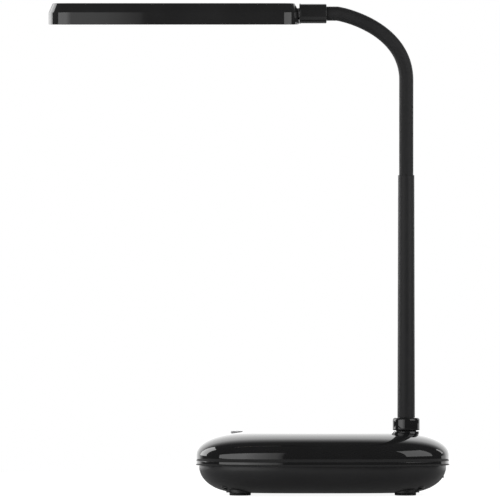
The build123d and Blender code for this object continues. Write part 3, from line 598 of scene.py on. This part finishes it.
def grow(tree, points, sizes):
    mesh = bpy.data.meshes.new("points")
    mesh.from_pydata([Vector(point) * mm for point in points], [], [])
    source = bpy.data.objects.new("points", mesh)
    bpy.context.scene.collection.objects.link(source)
    modifier = source.modifiers.new("grow", "NODES")
    modifier.node_group = tree
    for socket in tree.interface.items_tree:
        if socket.in_out == "INPUT" and socket.name in sizes:
            modifier[socket.identifier] = sizes[socket.name]
    graph = bpy.context.evaluated_depsgraph_get()
    result = bpy.data.meshes.new_from_object(source.evaluated_get(graph), depsgraph=graph)
    source.modifiers.clear()
    bpy.data.objects.remove(source)
    shape = bmesh.new()
    shape.from_mesh(result)
    bmesh.ops.remove_doubles(shape, verts=shape.verts, dist=weld)
    bmesh.ops.recalc_face_normals(shape, faces=shape.faces)
    shape.to_mesh(result)
    shape.free()
    return result


# Flexible neck: one sleeve drawn along the centreline, parted halfway between the joints, so
# that each length is centred on its own joint

neckJoints = [Vector(joint["pos_m"]) / mm for joint in frame["joints"]
              if joint["name"].startswith("neck_")]

neckPlan = dict(footX=neckX, stubFoot=237.0, firstJoint=neckJoints[0].z, bendStart=320.5,
                upperPull=40.8, headX=neckJoints[-1].x, headZ=neckJoints[-1].z, headPull=3.0,
                tipEnd=reach("gooseneck_tip")["front"], footPull=5.0, tipPull=4.0, smoothness=96,
                radius=neckRadius, joints=len(neckJoints), sides=64, stepLength=0.5, lap=0.04,
                driftAllowed=0.1)


def makeCentreline(plan):
    curve = bpy.data.curves.new("centreline", "CURVE")
    curve.dimensions = "3D"
    curve.resolution_u = plan["smoothness"]
    line = curve.splines.new("BEZIER")
    line.bezier_points.add(3)
    x, foot, bend = plan["footX"], plan["stubFoot"], plan["bendStart"]
    head, tip, z = plan["headX"], plan["tipEnd"], plan["headZ"]
    stops = [  # each with its two handles
        ((x, foot), (x, foot - plan["footPull"]), (x, foot + plan["footPull"])),
        ((x, bend), (x, bend - plan["footPull"]), (x, bend + plan["upperPull"])),
        ((head, z), (head + plan["headPull"], z), (head - plan["tipPull"], z)),
        ((tip, z), (tip + plan["tipPull"], z), (tip - plan["tipPull"], z)),
    ]
    for point, (spot, before, after) in zip(line.bezier_points, stops):
        point.handle_left_type = point.handle_right_type = "FREE"
        point.co = Vector((spot[0], 0, spot[1])) * mm
        point.handle_left = Vector((before[0], 0, before[1])) * mm
        point.handle_right = Vector((after[0], 0, after[1])) * mm
    holder = bpy.data.objects.new("centreline", curve)
    bpy.context.scene.collection.objects.link(holder)
    return holder


def neckTree():
    tree, ground = newTree("neckSleeve", {
        "Centreline": "Object", "From": "Float", "To": "Float", "Radius": "Float",
        "Step Length": "Float", "Sides": "Int", "Material": "Material"})
    line = put(tree, "GeometryNodeObjectInfo", {"Object": ground["Centreline"]}).outputs["Geometry"]
    part = put(tree, "GeometryNodeTrimCurve", {0: line, 4: ground["From"], 5: ground["To"]},
               mode="LENGTH")
    even = put(tree, "GeometryNodeResampleCurve",
               {"Curve": part.outputs[0], "Length": ground["Step Length"]}, mode="LENGTH")
    ring = put(tree, "GeometryNodeCurvePrimitiveCircle",
               {"Resolution": ground["Sides"], "Radius": ground["Radius"]}, mode="RADIUS")
    tube = put(tree, "GeometryNodeCurveToMesh",
               {"Curve": even.outputs[0], "Profile Curve": ring.outputs[0], "Fill Caps": True})
    endTree(tree, tube.outputs[0], ground)
    return tree


def walk(points):
    total = 0.0
    marks = [(0.0, points[0])]
    for here, there in zip(points, points[1:]):
        total += (there - here).length
        marks.append((total, there))
    return marks


def placeAt(marks, distance):
    for (startLength, start), (endLength, end) in zip(marks, marks[1:]):
        if distance <= endLength:
            return start.lerp(end, (distance - startLength) / max(endLength - startLength, weld))
    return marks[-1][1]


def makeNeck(plan):
    centreline = makeCentreline(plan)
    line = bpy.data.meshes.new_from_object(centreline)
    marks = walk([vertex.co.copy() for vertex in line.vertices])
    firstJoint = (plan["firstJoint"] - plan["stubFoot"]) * mm
    bendLength = marks[-1][0] - firstJoint - (plan["headX"] - plan["tipEnd"]) * mm
    step = bendLength / (plan["joints"] - 1)
    tree = neckTree()
    lap = plan["lap"] * mm  # closes the outside of the bend between two lengths
    for number in range(1, plan["joints"] + 1):
        first, last = number == 1, number == plan["joints"]
        joint = firstJoint + (number - 1) * step
        before, after = joint - step / 2, joint + step / 2
        mesh = grow(tree, [(0, 0, 0)], {
            "Centreline": centreline, "From": 0.0 if first else before - lap,
            "To": marks[-1][0] if last else after + lap, "Radius": plan["radius"] * mm,
            "Step Length": plan["stepLength"] * mm, "Sides": plan["sides"],
            "Material": finishes["sleeve_rubber"]})
        standsFor = ["gooseneck_tip"] if last else [f"gooseneck_link_{number:02d}"]
        if first:
            standsFor.append("gooseneck_root")
        piece = addPiece(f"neckSleeve_{number:02d}", mesh, "sleeve_rubber", None, standsFor)
        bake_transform(piece)
        drift = (placeAt(marks, joint) / mm - neckJoints[number - 1]).length
        assert drift < plan["driftAllowed"], (number, drift)
    bpy.data.objects.remove(centreline)


makeNeck(neckPlan)
print("neck made")


# Head: the round connector with its flange, and the long shell with sloped upper faces

connectorBox = reach("head_connector")
shellBox = reach("head_shell")
headZ = neckPlan["headZ"]

tenonBore = 4.65  # through the connector's front and the shell's end wall

connectorPlan = dict(axisZ=headZ, front=connectorBox["front"], rear=connectorBox["rear"],
                     flange=connectorBox["top"] - headZ, flangeStep=0.3, flangeLength=1.3,
                     rearRound=0.7, flangeRound=0.35, neckBore=neckRadius + play, neckDepth=9.0,
                     tenonDepth=9.0, leadBore=2.4, around=96)

shellPlan = dict(front=shellBox["front"], rear=shellBox["rear"], bottom=shellBox["bottom"],
                 top=shellBox["top"], width=shellBox["far"] - shellBox["near"], corner=18.0,
                 cornerSteps=24, shoulder=372.8, slopeInset=3.1, topMargin=4.0, wall=2.0, footRound=0.3,
                 shoulderRound=0.6, topRound=0.8, roundSteps=6, holeInside=8.0, holeOutside=2.0)


def makeConnector(plan):
    radius = plan["flange"] - plan["flangeStep"]
    flangeRear = plan["front"] + plan["flangeLength"]
    neckStop = plan["rear"] - plan["neckDepth"]
    tenonStop = plan["front"] + plan["tenonDepth"]
    corners = [(tenonBore, plan["front"]), (plan["flange"], plan["front"]),
               (plan["flange"], flangeRear), (radius, flangeRear), (radius, plan["rear"]),
               (plan["neckBore"], plan["rear"]), (plan["neckBore"], neckStop),
               (plan["leadBore"], neckStop), (plan["leadBore"], tenonStop), (tenonBore, tenonStop)]
    edge = plan["flangeRound"]
    radii = [0, edge, edge, 0, plan["rearRound"], 0, 0, 0, 0, 0]
    profile = softened(corners, radii, closed=True)
    mesh = skin([levelRing(plan, *pair) for pair in profile], closed=True)
    addPiece("headConnector", mesh, "gloss_black", "head", ["head_connector"], "head_black")


def makeShell(plan):
    wall, inset = plan["wall"], plan["slopeInset"]
    corners = [(wall, plan["bottom"]), (0, plan["bottom"]), (0, plan["shoulder"]), (inset, plan["top"]),
               (inset + plan["topMargin"], plan["top"])]
    radii = [0, plan["footRound"], plan["shoulderRound"], plan["topRound"], 0]
    outer = softened(corners, radii, plan["roundSteps"])
    ceiling = plan["top"] - wall
    lean = inset * (ceiling - plan["shoulder"]) / (plan["top"] - plan["shoulder"])
    inner = [(wall, plan["shoulder"]), (wall + lean, ceiling)]
    mesh = skin([barRing(plan, *pair) for pair in inner[::-1] + outer])
    holePlan = dict(axisZ=headZ, around=holeSides)
    hole = skin([levelRing(holePlan, tenonBore, along)
                 for along in (plan["rear"] - plan["holeInside"], plan["rear"] + plan["holeOutside"])])
    addPiece("headShell", cut(mesh, hole), "gloss_black", "head", ["head_shell"], "head_black")


makeConnector(connectorPlan)
makeShell(shellPlan)
print("head made")


# Feet, and the screws that show from below with their cross recess

footPlan = dict(radius=8.3, height=5.2, taper=0.4, sides=72)

baseScrewPlan = dict(spots=[(*spot, trayPlan["recessTop"]) for spot in screwSpots], headRadius=2.8,
                     headHeight=2.0, taper=0.4, shankRadius=1.5, shankLength=22.0, recessLength=3.4,
                     recessWidth=0.75, recessDepth=1.2, sides=40)

bezelScrewPlan = dict(spots=[(x, y, 364.4) for x in (-194.3, -60.2) for y in (-14.8, 14.8)],
                      headRadius=1.9, headHeight=1.0, taper=0.25, shankRadius=1.0, shankLength=8.0,
                      recessLength=2.3, recessWidth=0.5, recessDepth=0.6, sides=40)


def moved(tree, geometry, depth):
    shift = put(tree, "ShaderNodeCombineXYZ", {"Z": depth})
    node = put(tree, "GeometryNodeTransform", {"Geometry": geometry, "Translation": shift.outputs[0]})
    return node.outputs[0]


def merged(tree, first, others, operation):
    node = put(tree, "GeometryNodeMeshBoolean", operation=operation, solver="EXACT")
    if operation == "DIFFERENCE":
        tree.links.new(first, node.inputs["Mesh 1"])
    for other in [*others, *([first] if operation == "UNION" else [])]:
        tree.links.new(other, node.inputs["Mesh 2"])
    return node.outputs[0]


def taperedDisc(tree, wide, taper, height, sides):
    # Its narrow end is at the bottom, and its wide top lies at the origin
    narrow = calc(tree, "SUBTRACT", wide, taper)
    rim = put(tree, "GeometryNodeMeshCone", {"Vertices": sides, "Radius Top": wide,
                                             "Radius Bottom": narrow, "Depth": taper}).outputs[0]
    rest = calc(tree, "SUBTRACT", height, taper)
    body = put(tree, "GeometryNodeMeshCylinder", {"Vertices": sides, "Radius": wide,
                                                  "Depth": rest}).outputs[0]
    rim = moved(tree, rim, calc(tree, "MULTIPLY", height, -1))
    body = moved(tree, body, calc(tree, "MULTIPLY", rest, -0.5))
    return merged(tree, rim, [body], "UNION")


def footTree():
    tree, ground = newTree("feet", {"Radius": "Float", "Height": "Float", "Taper": "Float",
                                    "Sides": "Int", "Material": "Material"})
    foot = taperedDisc(tree, ground["Radius"], ground["Taper"], ground["Height"], ground["Sides"])
    spots = put(tree, "GeometryNodeInstanceOnPoints", {"Points": ground["Geometry"], "Instance": foot})
    endTree(tree, spots.outputs[0], ground)
    return tree


def screwTree():
    tree, ground = newTree("crossScrews", {
        "Head Radius": "Float", "Head Height": "Float", "Taper": "Float", "Shank Radius": "Float",
        "Shank Length": "Float", "Recess Length": "Float", "Recess Width": "Float",
        "Recess Depth": "Float", "Sides": "Int", "Material": "Material"})
    sides = ground["Sides"]
    head = taperedDisc(tree, ground["Head Radius"], ground["Taper"], ground["Head Height"], sides)
    shank = put(tree, "GeometryNodeMeshCylinder", {"Vertices": sides, "Radius": ground["Shank Radius"],
                                                   "Depth": ground["Shank Length"]}).outputs[0]
    shank = moved(tree, shank, calc(tree, "MULTIPLY", ground["Shank Length"], 0.5))
    screw = merged(tree, head, [shank], "UNION")
    deep = calc(tree, "MULTIPLY", ground["Recess Depth"], 2.0)
    slots = []
    for first, second in (("Recess Length", "Recess Width"), ("Recess Width", "Recess Length")):
        size = put(tree, "ShaderNodeCombineXYZ", {"X": ground[first], "Y": ground[second], "Z": deep})
        slot = put(tree, "GeometryNodeMeshCube", {"Size": size.outputs[0]}).outputs[0]
        slots.append(moved(tree, slot, calc(tree, "MULTIPLY", ground["Head Height"], -1)))
    screw = merged(tree, screw, slots, "DIFFERENCE")
    spots = put(tree, "GeometryNodeInstanceOnPoints", {"Points": ground["Geometry"], "Instance": screw})
    endTree(tree, spots.outputs[0], ground)
    return tree


def makeFeet(plan):
    mesh = grow(footTree(), [(*spot, plan["height"]) for spot in footSpots], {
        "Radius": plan["radius"] * mm, "Height": plan["height"] * mm, "Taper": plan["taper"] * mm,
        "Sides": plan["sides"], "Material": finishes["black_rubber"]})
    addPiece("rubberFeet", mesh, "black_rubber", "base", ["foot_pads"])


def makeScrews(name, plan, body, node):
    mesh = grow(screwTree(), plan["spots"], {
        "Head Radius": plan["headRadius"] * mm, "Head Height": plan["headHeight"] * mm,
        "Taper": plan["taper"] * mm, "Shank Radius": plan["shankRadius"] * mm,
        "Shank Length": plan["shankLength"] * mm, "Recess Length": plan["recessLength"] * mm,
        "Recess Width": plan["recessWidth"] * mm, "Recess Depth": plan["recessDepth"] * mm,
        "Sides": plan["sides"], "Material": finishes["screw_steel"]})
    addPiece(name, mesh, "screw_steel", body, [node])


makeFeet(footPlan)
makeScrews("baseScrews", baseScrewPlan, "base", "base_screws")
makeScrews("bezelScrews", bezelScrewPlan, "head", "bezel_screws")
print("feet and screws made")
